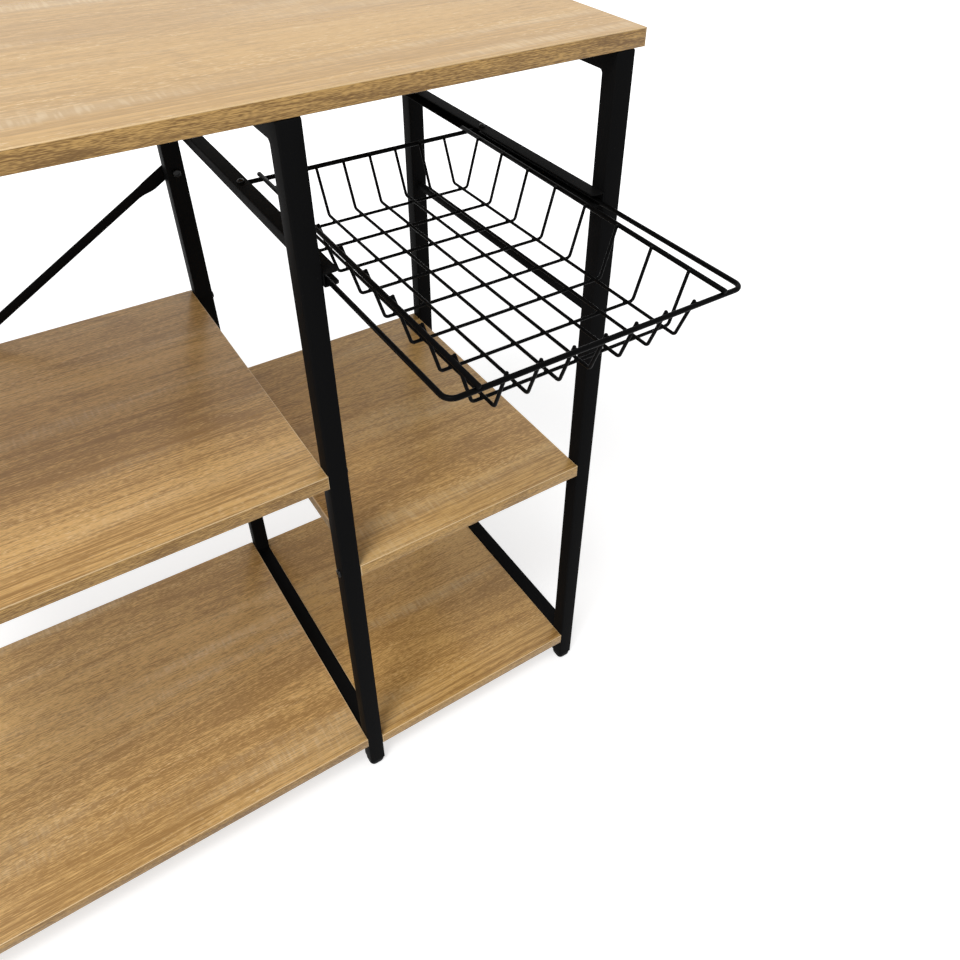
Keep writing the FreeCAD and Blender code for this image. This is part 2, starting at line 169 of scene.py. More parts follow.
# Width of the camera's sensor in millimetres, and the points that the two lights face.
SENSOR = 36.0
TARGETS = {"key": (0.0, 0.0, 0.5), "fill": (0.1, 0.0, 0.5)}

# What the settings below have in common.
LENGTH = {"unit": "LENGTH", "precision": 5}
COLOUR = {"subtype": "COLOR", "min": 0, "max": 1}


class RackBoardSettings(PropertyGroup):
    """Boards and their edge bands"""
    arris: FloatProperty(
        name="Arris", description="Rounding of the edge band's outer edges", default=0.0008, **LENGTH)
    # The rounded faces of this edge carry the painted highlight.
    end_arris: FloatProperty(
        name="End arris", description="Rubbed upper edge at the shelves' bare ends",
        default=0.0011, **LENGTH)
    seam: FloatProperty(
        name="Seam", description="Edge broken on a board where its band is glued",
        default=0.00018, **LENGTH)
    pale: FloatVectorProperty(
        name="Pale oak", description="Lightest colour of the grain", default=(0.76, 0.482, 0.190), **COLOUR)
    dark: FloatVectorProperty(
        name="Dark oak", description="Darkest streaks of the grain", default=(0.40, 0.226, 0.080), **COLOUR)
    band_pale: FloatVectorProperty(
        name="Pale band", description="Lightest colour of the bands",
        default=(0.62, 0.375, 0.125), **COLOUR)
    band_dark: FloatVectorProperty(
        name="Dark band", description="Darkest streaks of the bands",
        default=(0.23, 0.122, 0.034), **COLOUR)
    # Cream also goes into the painted highlight on the rounded edges.
    cream: FloatVectorProperty(
        name="Cream", description="Pale flecks and rubbed edges", default=(0.88, 0.70, 0.45), **COLOUR)
    # Painted shade: the right bay's boards are a darker copy of the same oak, standing in for the lower light
    # in that bay.
    right_bay_painted_shade: FloatVectorProperty(
        name="Right tone", description="Right bay's print beside the left's",
        default=(0.84, 0.81, 0.72), **COLOUR)
    # Painted shade: the worktop is a darker copy of the shelf oak, standing in for the stronger light on it.
    worktop_painted_shade: FloatVectorProperty(
        name="Worktop tone", description="Worktop's print beside the shelves'",
        default=(0.91, 0.89, 0.82), **COLOUR)
    # Painted reflection haze: the worktop's dark streaks are lifted toward its pale grain.
    worktop_painted_haze: FloatProperty(
        name="Worktop calm", description="How near the worktop's pale grain comes to the dark streaks",
        default=0.66, subtype="FACTOR", min=0, max=1)
    chip: FloatVectorProperty(
        name="Chipboard", description="Bare ends of the shelves", default=(0.50, 0.36, 0.21), **COLOUR)


class RackSteelSettings(PropertyGroup):
    """Tube frames, rails, bars and fasteners"""
    tube_corner: FloatProperty(
        name="Tube corner", description="Rounding along the square tubes", default=0.002, **LENGTH)
    inner_corner: FloatProperty(
        name="Inner corner", description="Weld in the frames' upper inner corners",
        default=0.0035, **LENGTH)
    foot_height: FloatProperty(
        name="Foot height", description="Height of the domed feet below the tubes", default=0.010, **LENGTH)
    foot_corner: FloatProperty(
        name="Foot corner", description="Radius of a foot's corners seen from above",
        default=0.0065, **LENGTH)
    foot_rounding: FloatProperty(
        name="Foot rounding", description="Radius from a foot's sides to its sole", default=0.006, **LENGTH)
    foot_wall: FloatProperty(
        name="Foot wall", description="From a foot's sides to its plug", default=0.0022, **LENGTH)
    weld: FloatProperty(
        name="Weld", description="Thickness of the weld beads on the frames", default=0.0021, **LENGTH)
    sheet: FloatProperty(
        name="Rail sheet", description="Sheet thickness of the basket rails", default=0.0012, **LENGTH)
    rail_corner: FloatProperty(
        name="Rail corner", description="Rounding of the rails' flanges at the front",
        default=0.004, **LENGTH)
    seat_inset: FloatProperty(
        name="Seat inset", description="Base shelf seats from front and back", default=0.100, **LENGTH)
    seat_width: FloatProperty(
        name="Seat width", description="Width of each base shelf seat", default=0.030, **LENGTH)
    seat_thickness: FloatProperty(
        name="Seat thickness", description="Sheet thickness of the seats", default=0.002, **LENGTH)
    seat_corner: FloatProperty(
        name="Seat corner", description="Rounding of the seats' corners", default=0.004, **LENGTH)
    flat_width: FloatProperty(
        name="Brace flat width", description="Width of the brace's pressed ends", default=0.0155, **LENGTH)
    flat_thickness: FloatProperty(
        name="Brace flat", description="Thickness of the brace's pressed ends", default=0.0025, **LENGTH)
    end_flat: FloatProperty(
        name="Brace end", description="Length of the brace's pressed ends from the bolt",
        default=0.030, **LENGTH)
    middle_flat: FloatProperty(
        name="Brace middle", description="Half the length of the brace's pressed middle",
        default=0.022, **LENGTH)
    taper: FloatProperty(
        name="Brace taper", description="Length over which the brace turns round", default=0.020, **LENGTH)
    brace_diameter: FloatProperty(
        name="Brace diameter", description="Thickness of the brace's round part", default=0.010, **LENGTH)
    screw_inset: FloatProperty(
        name="Screw inset", description="Base shelf screws from the boards' ends", default=0.0125, **LENGTH)
    coat: FloatVectorProperty(
        name="Coating", description="Colour of the black coated steel",
        default=(0.0066, 0.0066, 0.0068), **COLOUR)
    plastic: FloatVectorProperty(
        name="Plastic", description="Colour of the plastic feet",
        default=(0.0050, 0.0050, 0.0052), **COLOUR)
    zinc: FloatVectorProperty(
        name="Fasteners", description="Colour of the blackened fasteners",
        default=(0.0099, 0.0099, 0.0105), **COLOUR)


class RackBasketSettings(PropertyGroup):
    """Wire basket"""
    rim_corner: FloatProperty(
        name="Rim corner", description="Centre line radius of the rim's front corners",
        default=0.009, **LENGTH)
    wire_bend: FloatProperty(
        name="Wire bend", description="Centre line radius between walls and floor",
        default=0.0042, **LENGTH)
    side_lean: FloatProperty(
        name="Side lean", description="How far the side walls lean in", default=0.0135, **LENGTH)
    front_lean: FloatProperty(
        name="Front lean", description="How far the front wall leans in", default=0.014, **LENGTH)
    rear_lean: FloatProperty(
        name="Rear lean", description="How far the rear wall leans in", default=0.019, **LENGTH)
    weld: FloatProperty(
        name="Weld", description="Size of the spot welds between wires", default=0.0019, **LENGTH)
    wire_sides: IntProperty(
        name="Wire sides", description="Sides of a wire's round section", default=14, min=8, max=32)
    rod_sides: IntProperty(
        name="Rod sides", description="Sides of a rod's round section", default=18, min=8, max=32)
    coat: FloatVectorProperty(
        name="Wire coating", description="Colour of the coated wire",
        default=(0.0022, 0.0022, 0.0023), **COLOUR)


class RackStageSettings(PropertyGroup):
    """Floor, light and camera"""
    floor: FloatVectorProperty(
        name="Floor", description="Colour of the floor", default=(0.62, 0.62, 0.62), **COLOUR)
    floor_size: FloatProperty(
        name="Floor size", description="Length of the floor's sides", default=14.0, unit="LENGTH")
    floor_glow: FloatProperty(
        name="Floor glow", description="White added to the floor where it is seen or reflected",
        default=0.60, subtype="FACTOR", min=0, max=1)
    floor_fade: FloatVectorProperty(
        name="Floor fade", description="Distances between which the floor turns white",
        default=(0.8, 2.4), size=2, unit="LENGTH")
    sky: FloatProperty(
        name="Sky", description="Strength of the even light from all round", default=0.57, min=0)
    key_power: FloatProperty(
        name="Key light", description="Power of the large light overhead", default=128.0, unit="POWER")
    key_size: FloatProperty(
        name="Key size", description="Length of the key light's sides", default=1.5, unit="LENGTH")
    key_place: FloatVectorProperty(
        name="Key place", description="Place of the key light",
        default=(-2.0, -1.7, 5.2), subtype="XYZ", unit="LENGTH")
    fill_power: FloatProperty(
        name="Fill light", description="Power of the light on the left", default=14.0, unit="POWER")
    fill_size: FloatProperty(
        name="Fill size", description="Length of the fill light's sides", default=1.8, unit="LENGTH")
    fill_place: FloatVectorProperty(
        name="Fill place", description="Place of the fill light",
        default=(-2.4, -1.6, 1.3), subtype="XYZ", unit="LENGTH")
    lens: FloatProperty(
        name="Lens", description="Focal length on a 36 mm sensor", default=32.234, unit="CAMERA")
    eye: FloatVectorProperty(
        name="Eye", description="Place of the camera",
        default=(-0.0835, -0.68395, 1.0769), subtype="XYZ", unit="LENGTH")
    look: FloatVectorProperty(
        name="Look", description="Direction in which the camera looks",
        default=(0.43194, 0.64810, -0.62721), subtype="DIRECTION")
    roll: FloatProperty(
        name="Roll", description="Turn of the camera about the direction in which it looks",
        default=math.radians(0.7256), subtype="ANGLE")
    shift: FloatVectorProperty(
        name="Shift", description="Sideways and upward shift of the picture",
        default=(-0.01344, -0.0721), size=2)


def select_only(*pieces):
    """Leave edit mode and select just these pieces, with the first one active."""
    if bpy.context.object and bpy.context.object.mode != "OBJECT":
        bpy.ops.object.mode_set(mode="OBJECT")
    bpy.ops.object.select_all(action="DESELECT")
    for piece in pieces:
        piece.select_set(True)
    if pieces:
        bpy.context.view_layer.objects.active = pieces[0]


def name_piece(name):
    piece = bpy.context.object
    piece.name = name
    piece.data.name = name
    return piece


def apply_place(piece):
    bpy.context.view_layer.update()
    bpy.ops.object.transform_apply(location=True, rotation=True, scale=True)
    return piece


def begin_edit(mode="FACE"):
    bpy.ops.object.mode_set(mode="EDIT")
    bpy.ops.mesh.select_mode(type=mode)
    bpy.ops.mesh.select_all(action="SELECT")


def end_edit():
    bpy.ops.mesh.select_all(action="SELECT")
    bpy.ops.mesh.normals_make_consistent(inside=False)
    bpy.ops.object.mode_set(mode="OBJECT")


def pick(piece, mode, parts, holds):
    """Select those of the faces, edges or corners for which a test holds."""
    bpy.ops.mesh.select_mode(type=mode)
    bpy.ops.mesh.select_all(action="DESELECT")
    for part in getattr(bmesh.from_edit_mesh(piece.data), parts):
        if holds(part):
            part.select_set(True)
    bmesh.update_edit_mesh(piece.data)


def pick_faces(piece, test):
    """Select the faces for which test(middle, normal) holds."""
    pick(piece, "FACE", "faces", lambda face: test(face.calc_center_median(), face.normal))


def pick_edges(piece, test):
    """Select the edges for which test(middle, direction, angle between the faces) holds."""
    def holds(edge):
        first, last = (corner.co for corner in edge.verts)
        return test((first + last) / 2, (last - first).normalized(), edge.calc_face_angle(0.0))
    pick(piece, "EDGE", "edges", holds)


def pick_corners(piece, test):
    """Select the corners for which test(place) holds."""
    pick(piece, "VERT", "verts", lambda corner: test(corner.co))


def extrude(step):
    bpy.ops.mesh.extrude_region_move(TRANSFORM_OT_translate={"value": step})


def round_edges(width, segments, affect="EDGES"):
    bpy.ops.mesh.bevel(offset=width, segments=segments, affect=affect)


def facing(direction):
    """The turn that brings +Z to a direction."""
    return direction.to_track_quat("Z", "Y").to_euler()


def middle_of(node):
    return sum(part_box(node), Vector()) / 2


def add_block(name, low, high):
    """A cube primitive given its size and place."""
    select_only()
    bpy.ops.mesh.primitive_cube_add(size=1, location=(low + high) / 2)
    piece = name_piece(name)
    piece.scale = high - low
    return apply_place(piece)


def add_disc(name, place, direction, diameter, sides):
    select_only()
    bpy.ops.mesh.primitive_circle_add(vertices=sides, radius=diameter / 2, fill_type="NGON", location=place,
                                      rotation=facing(direction))
    return apply_place(name_piece(name))


def add_cylinder(name, sides, diameter, low, high):
    """A cylinder primitive on the Z axis between two heights."""
    select_only()
    bpy.ops.mesh.primitive_cylinder_add(vertices=sides, radius=diameter / 2, depth=high - low,
                                        location=(0, 0, (low + high) / 2))
    return apply_place(name_piece(name))


def add_bead(name, radius, height=1.0):
    """A ball primitive flattened to a share of its height."""
    select_only()
    bpy.ops.mesh.primitive_ico_sphere_add(subdivisions=2, radius=radius)
    bead = name_piece(name)
    bead.scale.z = height
    return apply_place(bead)


def follow_path(points, bend, steps):
    """Extrude the selected face along the runs of a path, and spin it round each bend."""
    here = points[0]
    for before, corner, after in zip(points, points[1:], points[2:]):
        come = (corner - before).normalized()
        go = (after - corner).normalized()
        turn = come.angle(go)
        axis = come.cross(go).normalized()
        reach = bend * math.tan(turn / 2)
        start = corner - come * reach
        extrude(start - here)
        bpy.ops.mesh.spin(steps=steps, angle=-turn, center=start + axis.cross(come) * bend, axis=axis)
        here = corner + go * reach
    extrude(points[-1] - here)


def round_bar(name, points, diameter, sides, bend=0.0, steps=6):
    """A bent round bar: its two ends, the only faces with many corners, are softened."""
    piece = add_disc(name, points[0], (points[1] - points[0]).normalized(), diameter, sides)
    begin_edit()
    follow_path(points, bend, steps)
    bpy.ops.mesh.select_all(action="DESELECT")
    bpy.ops.mesh.select_face_by_sides(number=4, type="GREATER")
    round_edges(diameter * END_SOFTENING, 2)
    end_edit()
    return piece


def square_bar(name, start, end, side, corner):
    """A straight square tube with rounded corners along it."""
    select_only()
    bpy.ops.mesh.primitive_plane_add(size=side, location=start, rotation=facing(end - start))
    piece = apply_place(name_piece(name))
    begin_edit("VERT")
    round_edges(corner, 3, "VERTICES")
    bpy.ops.mesh.select_mode(type="FACE")
    bpy.ops.mesh.select_all(action="SELECT")
    extrude(end - start)
    end_edit()
    return piece


def copy_to(source, place, direction):
    """A copy with its own mesh, whose +Z side is turned to the given direction."""
    select_only(source)
    bpy.ops.object.duplicate(linked=False)
    piece = bpy.context.object
    piece.rotation_euler = facing(direction)
    piece.location = place
    return apply_place(piece)


def scatter(source, places):
    """Copies of a piece at each place and direction, in its stead."""
    copies = [copy_to(source, place, direction) for place, direction in places]
    remove_piece(source)
    return copies


def join_pieces(name, pieces):
    select_only(*pieces)
    if len(pieces) > 1:
        bpy.ops.object.join()
    return name_piece(name)


def remove_piece(piece):
    select_only(piece)
    bpy.ops.object.delete()


def apply_modifier(piece, kind, **settings):
    select_only(piece)
    modifier = piece.modifiers.new(kind.lower(), kind)
    for name, value in settings.items():
        setattr(modifier, name, value)
    bpy.ops.object.modifier_apply(modifier=modifier.name)


def paint_faces(piece, material, test):
    """Give the faces for which test(middle, normal) holds a finish of their own."""
    piece.data.materials.append(material)
    pick_faces(piece, test)
    piece.active_material_index = len(piece.data.materials) - 1
    bpy.ops.object.material_slot_assign()


def dress(piece, material, body, nodes=(), angle=40):
    """Give a piece its finish, and let it ride on a body in place of its CAD nodes."""
    select_only(piece)
    bpy.ops.object.shade_smooth_by_angle(angle=math.radians(angle))
    if not piece.data.materials:
        piece.data.materials.append(material)
    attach(piece, body)
    if nodes:
        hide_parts(*nodes)
    return piece


def put(tree, kind, inputs=None, **settings):
    """A shader node with its settings: each input is a value, or a socket to link."""
    made = tree.nodes.new(kind)
    for name, value in settings.items():
        setattr(made, name, value)
    for name, value in (inputs or {}).items():
        if isinstance(value, NodeSocket):
            tree.links.new(value, made.inputs[name])
        else:
            made.inputs[name].default_value = value
    return made


def arrange(tree, column=180, row=170):
    """Lay a tree's nodes out from left to right, each one left of all that it feeds."""
    steps = {node.name: 0 for node in tree.nodes}
    for _ in tree.nodes:
        for link in tree.links:
            steps[link.from_node.name] = max(steps[link.from_node.name], steps[link.to_node.name] + 1)
    rows = {}
    for node in tree.nodes:
        step = steps[node.name]
        node.location = (-column * step, -row * rows.get(step, 0))
        rows[step] = rows.get(step, 0) + 1


def mix_colours(tree, share, first, last, blend="MIX"):
    made = put(tree, "ShaderNodeMix", {0: share, 6: first, 7: last}, data_type="RGBA", blend_type=blend)
    return made.outputs[2]


def calculate(tree, operation, *values):
    return put(tree, "ShaderNodeMath", dict(enumerate(values)), operation=operation).outputs[0]


def between(tree, value, low, high):
    """0 at low, 1 at high, smooth between them."""
    made = put(tree, "ShaderNodeMapRange", {"Value": value, "From Min": low, "From Max": high},
               interpolation_type="SMOOTHSTEP")
    return made.outputs["Result"]


def stretched_noise(tree, vector, stretch, detail, roughness, distortion):
    """Noise whose features have the given density along each axis."""
    mapping = put(tree, "ShaderNodeMapping", {"Vector": vector, "Scale": stretch})
    noise = put(tree, "ShaderNodeTexNoise", {"Vector": mapping.outputs[0], "Scale": 1.0, "Detail": detail,
                                             "Roughness": roughness, "Distortion": distortion})
    return noise.outputs["Fac"]


def new_group(name, colours, values):
    """A node group that takes a vector, colours and values, and gives a colour, a height and a roughness."""
    tree = bpy.data.node_groups.new(name, "ShaderNodeTree")
    sockets = [("Vector", "INPUT", "Vector")]
    sockets += [(socket, "INPUT", "Color") for socket in colours]
    sockets += [(socket, "INPUT", "Float") for socket in values]
    sockets += [("Color", "OUTPUT", "Color"), ("Height", "OUTPUT", "Float"), ("Roughness", "OUTPUT", "Float")]
    for socket, side, kind in sockets:
        tree.interface.new_socket(socket, in_out=side, socket_type="NodeSocket" + kind)
    return tree, put(tree, "NodeGroupInput").outputs


def end_group(tree, colour, height, roughness):
    put(tree, "NodeGroupOutput", {"Color": colour, "Height": height, "Roughness": roughness})
    arrange(tree)
    return tree


def oak_grain_group():
    """Printed oak along X: broad tones, ring lines, fine lines, short dashes, pores and pale cross flecks."""
    name = "Oak grain"
    if name in bpy.data.node_groups:
        return bpy.data.node_groups[name]
    tree, given = new_group(name, OAK_COLOURS, OAK_AMOUNTS)
    layer = {key: stretched_noise(tree, given["Vector"], *values) for key, values in OAK_LAYERS.items()}

    place = put(tree, "ShaderNodeSeparateXYZ", {"Vector": given["Vector"]})
    straight = between(tree, place.outputs["Y"], *STRAIGHT_FRONT)
    straight = calculate(tree, "MULTIPLY", straight, given["Straight"])
    lines = calculate(tree, "MULTIPLY_ADD", straight, *STRAIGHT_LINES)
    dashes = calculate(tree, "MULTIPLY_ADD", straight, *STRAIGHT_DASHES)
    dashes = calculate(tree, "MULTIPLY", dashes, given["Dashes"])

    ring = calculate(tree, "MULTIPLY", layer["broad"], RING_COUNT)
    ring = calculate(tree, "MULTIPLY_ADD", layer["medium"], RING_WAVER, ring)
    ring = between(tree, calculate(tree, "SINE", ring), *RING_LINE)
    ring = calculate(tree, "MULTIPLY", ring, calculate(tree, "SUBTRACT", 1.0, straight))

    tone = 0.0
    for key, amount in (("broad", BROAD_TONE), ("medium", MEDIUM_TONE), ("line", lines),
                        ("fine", given["Lines"]), ("dash", dashes)):
        departure = calculate(tree, "SUBTRACT", layer[key], 0.5)
        tone = calculate(tree, "MULTIPLY_ADD", departure, amount, tone)
    tone = calculate(tree, "MULTIPLY_ADD", ring, RING_TONE, tone)
    tone = between(tree, tone, *TONE_RANGE)
    colour = mix_colours(tree, tone, given["Dark"], given["Pale"])

    pores = between(tree, layer["pore"], *PORE_LINE)
    pores = calculate(tree, "MULTIPLY", pores, between(tree, layer["medium"], *PORE_ZONE))
    colour = mix_colours(tree, calculate(tree, "MULTIPLY", pores, given["Pores"]), colour, given["Dark"])

    haze = between(tree, layer["patch"], *HAZE_PATCH)
    bars = calculate(tree, "MULTIPLY", between(tree, layer["fleck"], *BAR_LINE), haze)
    bars = calculate(tree, "MULTIPLY", bars, BAR_TONE)
    glints = between(tree, layer["dash"], *GLINT_LINE)
    glints = calculate(tree, "MULTIPLY", glints, between(tree, layer["medium"], *GLINT_ZONE))
    flecks = calculate(tree, "MAXIMUM", bars, glints)
    flecks = calculate(tree, "MULTIPLY_ADD", haze, HAZE_TONE, flecks)
    flecks = calculate(tree, "MULTIPLY", flecks, given["Flecks"])
    colour = mix_colours(tree, flecks, colour, given["Cream"])

    height = calculate(tree, "MULTIPLY_ADD", pores, PORE_RELIEF, layer["fine"])
    gloss = calculate(tree, "MULTIPLY_ADD", layer["medium"], *OAK_GLOSS)
    gloss = calculate(tree, "MULTIPLY_ADD", pores, PORE_GLOSS, gloss)
    return end_group(tree, colour, height, gloss)


def coating_group():
    """Baked coating: a fine pebbled skin, with slow changes of gloss and a little dust."""
    name = "Coating skin"
    if name in bpy.data.node_groups:
        return bpy.data.node_groups[name]
    tree, given = new_group(name, ("Colour",), ("Grain", "Gloss"))
    vector = given["Vector"]
    pebble = put(tree, "ShaderNodeTexNoise",
                 {"Vector": vector, "Scale": given["Grain"], "Detail": 2.0, "Roughness": 0.6}).outputs["Fac"]
    cloud = put(tree, "ShaderNodeTexNoise",
                {"Vector": vector, "Scale": CLOUD_DENSITY, "Detail": 3.0, "Roughness": 0.6}).outputs["Fac"]
    speck = put(tree, "ShaderNodeTexVoronoi", {"Vector": vector, "Scale": SPECK_DENSITY}).outputs["Distance"]

    dust = between(tree, speck, *DUST_SPECK)
    dust = calculate(tree, "MULTIPLY", dust, between(tree, cloud, *DUST_ZONE))
    dust = calculate(tree, "MULTIPLY", dust, DUST_AMOUNT)
    shade = calculate(tree, "MULTIPLY_ADD", pebble, *PEBBLE_SHADE)
    colour = mix_colours(tree, 1.0, given["Colour"], shade, "MULTIPLY")
    colour = mix_colours(tree, dust, colour, DUST)
    gloss = calculate(tree, "MULTIPLY_ADD", cloud, CLOUD_GLOSS, given["Gloss"])
    return end_group(tree, colour, pebble, gloss)


def colour4(colour):
    return (*colour, 1.0)


def toned(colour, tone):
    return Vector([part * share for part, share in zip(colour, tone)])


def new_material(name, constants):
    """A material, its node tree and its shader, with the values that are the same all over."""
    material = bpy.data.materials.new(name)
    material.use_nodes = True
    shader = material.node_tree.nodes["Principled BSDF"]
    for socket, value in constants.items():
        shader.inputs[socket].default_value = value
    return material, material.node_tree, shader


def link_relief(tree, shader, height, strength, depth):
    bump = put(tree, "ShaderNodeBump", {"Height": height, "Strength": strength, "Distance": depth})
    tree.links.new(bump.outputs["Normal"], shader.inputs["Normal"])


def grouped_material(name, group, values, depth, constants, turn=0.0, density=(1, 1, 1)):
    """A material whose colour, roughness and relief come from one node group on Object coordinates."""
    if name in bpy.data.materials:
        return bpy.data.materials[name]
    material, tree, shader = new_material(name, constants)
    place = put(tree, "ShaderNodeTexCoord").outputs["Object"]
    mapping = put(tree, "ShaderNodeMapping", {"Vector": place, "Rotation": (0, 0, turn), "Scale": density})
    skin = put(tree, "ShaderNodeGroup", {"Vector": mapping.outputs[0], **values}, node_tree=group)
    tree.links.new(skin.outputs["Color"], shader.inputs["Base Color"])
    tree.links.new(skin.outputs["Roughness"], shader.inputs["Roughness"])
    link_relief(tree, shader, skin.outputs["Height"], RELIEF_STRENGTH, depth)
    arrange(tree)
    return material


def oak(name, kind, pale, dark, cream, turn=0.0, density=(1, 1, 1)):
    """Oak in three colours, with the amounts of one kind of print."""
    amounts, depth = OAK_PRINTS[kind]
    values = dict(zip(OAK_COLOURS, map(colour4, (pale, dark, cream))))
    values.update(zip(OAK_AMOUNTS, amounts))
    return grouped_material(name, oak_grain_group(), values, depth, {"Specular IOR Level": OAK_SPECULAR},
                            turn, density)


def oak_shelf(settings, side):
    # The right bay's shelves get a darker copy of the oak: painted shade for the lower light in that bay.
    tone = settings.right_bay_painted_shade if side == "right" else (1, 1, 1)
    colours = [toned(colour, tone) for colour in (settings.pale, settings.dark, settings.cream)]
    return oak("oak_" + side + "_shelf", "shelf", *colours)


def oak_worktop(settings):
    """The worktop is a darker copy of the shelf oak, painted shade for its stronger light, with its dark
    streaks lifted toward the pale grain as a painted reflection haze.
    """
    pale = toned(settings.pale, settings.worktop_painted_shade)
    calm = pale.lerp(Vector(settings.dark), settings.worktop_painted_haze)
    return oak("oak_worktop", "worktop", pale, calm, settings.cream)


def oak_band(settings, name, turn):
    return oak(name, "band", settings.band_pale, settings.band_dark, settings.band_pale, turn, BAND_DENSITY)


def oak_arris(settings):
    # A paler copy of the oak, painted as the highlight that the rounded edges catch.
    highlit = Vector(settings.pale).lerp(Vector(settings.cream), ARRIS_HIGHLIGHT_CREAM)
    return oak("oak_arris", "arris", highlit, ARRIS_HIGHLIGHT_DARK * highlit, highlit)


def coating(name, colour):
    """One of the black finishes."""
    grain, gloss, depth, specular, metallic = COATINGS[name]
    values = {"Colour": colour4(colour), "Grain": grain, "Gloss": gloss}
    return grouped_material(name, coating_group(), values, depth,
                            {"Specular IOR Level": specular, "Metallic": metallic})


def chipboard(settings):
    """Bare chipboard: pressed chips of several tones."""
    name = "chipboard"
    if name in bpy.data.materials:
        return bpy.data.materials[name]
    material, tree, shader = new_material(name, {"Roughness": 0.85})
    place = put(tree, "ShaderNodeTexCoord").outputs["Object"]
    chips = put(tree, "ShaderNodeTexVoronoi", {"Vector": place, "Scale": CHIP_DENSITY, "Randomness": 1.0})
    tone = put(tree, "ShaderNodeRGBToBW", {"Color": chips.outputs["Color"]}).outputs[0]
    dark = CHIP_DARK * Vector(settings.chip)
    colour = mix_colours(tree, tone, colour4(dark), colour4(settings.chip))
    tree.links.new(colour, shader.inputs["Base Color"])
    link_relief(tree, shader, chips.outputs["Distance"], CHIP_RELIEF, CHIP_DEPTH)
    arrange(tree)
    return material


def make_strip(name, low, high, outer, settings):
    """One edge strip: outer is the direction of its face, whose edges are rounded, with a painted highlight
    on the upper edge and the upright corners.
    """
    strip = add_block(name, low, high)
    middle = (low + high) / 2
    reach = abs((high - middle).dot(outer))
    if abs(outer.x) > ALONG:
        strip.data.materials.append(oak_band(settings, "oak_band_end", math.pi / 2))
    else:
        strip.data.materials.append(oak_band(settings, "oak_band", 0.0))
    begin_edit()
    pick_edges(strip, lambda place, along, angle: (place - middle).dot(outer) > reach - NEAR)
    round_edges(settings.arris, 3)
    # Painted highlight on the rounded upper edge and the upright corners.
    paint_faces(strip, oak_arris(settings), lambda place, normal: normal.dot(outer) > HIGHLIT_SHARE
                and max(normal.z, abs(normal.cross(outer).z)) > HIGHLIT_SHARE)
    end_edit()
    return strip


def make_board(node, settings):
    """A board with its seams broken, and chipboard on ends that carry no band."""
    low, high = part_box(node)
    bare_ends = node != "worktop"
    board = add_block("oak_" + node, low, high)
    side = node.split("_")[0]
    board.data.materials.append(oak_shelf(settings, side) if bare_ends else oak_worktop(settings))
    begin_edit()
    if bare_ends:
        pick_edges(board, lambda place, along, angle: abs(along.y) > ALONG and place.z > high.z - NEAR)
        round_edges(settings.end_arris, 2)
    pick_edges(board, lambda place, along, angle: angle > SHARP)
    round_edges(settings.seam, 1)
    if bare_ends:
        paint_faces(board, chipboard(settings), lambda place, normal: abs(normal.x) > ALONG)
        # Painted highlight on the rounded upper edges of the bare ends.
        paint_faces(board, oak_arris(settings),
                    lambda place, normal: min(abs(normal.x), normal.z) > 2 * HIGHLIT_SHARE)
    end_edit()
    dress(board, None, "rack", [node])


class RACK_OT_boards(Operator):
    """Make the worktop and the shelves, with their edge bands"""
    bl_idname = "rack.boards"
    bl_label = "Boards"

    def execute(self, context):
        settings = context.scene.rack_boards
        for node in BOARDS:
            make_board(node, settings)
            low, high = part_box(node)
            band_low, band_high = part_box(node + "_edge_band")
            places = [("front", (low.x, band_low.y, low.z), (high.x, low.y, high.z), -BACK),
                      ("back", (low.x, high.y, low.z), (high.x, band_high.y, high.z), BACK)]
            if node == "worktop":
                places += [("left", band_low, (low.x, band_high.y, high.z), -RIGHT),
                           ("right", (high.x, band_low.y, low.z), band_high, RIGHT)]
            strips = [make_strip(name, Vector(start), Vector(end), outer, settings)
                      for name, start, end, outer in places]
            bands = join_pieces("band_" + node, strips)
            dress(bands, None, "rack", [node + "_edge_band"])
        return {"FINISHED"}


def tube_hoop(name, low, high, settings):
    """Two legs and a top bar of square tube, extruded from the front leg, with rounded edges."""
    tube = high.x - low.x
    under = high.z - tube
    hoop = add_block(name, low, Vector((high.x, low.y + tube, under)))
    begin_edit()
    pick_faces(hoop, lambda place, normal: normal.z > ALONG)
    extrude(UP * tube)
    pick_faces(hoop, lambda place, normal: normal.y > ALONG and place.z > under)
    extrude(BACK * (high.y - low.y - 2 * tube))
    extrude(BACK * tube)
    pick_faces(hoop, lambda place, normal: normal.z < -ALONG and place.y > high.y - tube)
    extrude(UP * (low.z - under))
    pick_edges(hoop, lambda place, along, angle: abs(along.x) > ALONG and abs(place.z - under) < NEAR
               and low.y + NEAR < place.y < high.y - NEAR and angle > SHARP)
    round_edges(settings.inner_corner, 4)
    pick_edges(hoop, lambda place, along, angle: angle > SHARP and place.z > low.z + NEAR)
    round_edges(settings.tube_corner, 3)
    end_edit()
    return hoop


class RACK_OT_frames(Operator):
    """Make the square tube hoops of the side frames"""
    bl_idname = "rack.frames"
    bl_label = "Frame hoops"

    def execute(self, context):
        settings = context.scene.rack_steel
        for side in SIDES:
            node = side + "_frame_hoop"
            low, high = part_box(node)
            low.z = settings.foot_height
            hoop = tube_hoop("steel_" + node, low, high, settings)
            dress(hoop, coating("black_coat", settings.coat), "rack", [node])
        return {"FINISHED"}


def weld_row(centre, normal, outline, size):
    """A row of weld beads on an outline that lies against a face."""
    places = []
    for first, last in zip(outline, outline[1:]):
        count = max(1, round((last - first).length / (size * BEAD_SPACING)))
        places += [(centre + first.lerp(last, (step + 0.5) / count), normal) for step in range(count)]
    return scatter(add_bead("bead", size / 2), places)


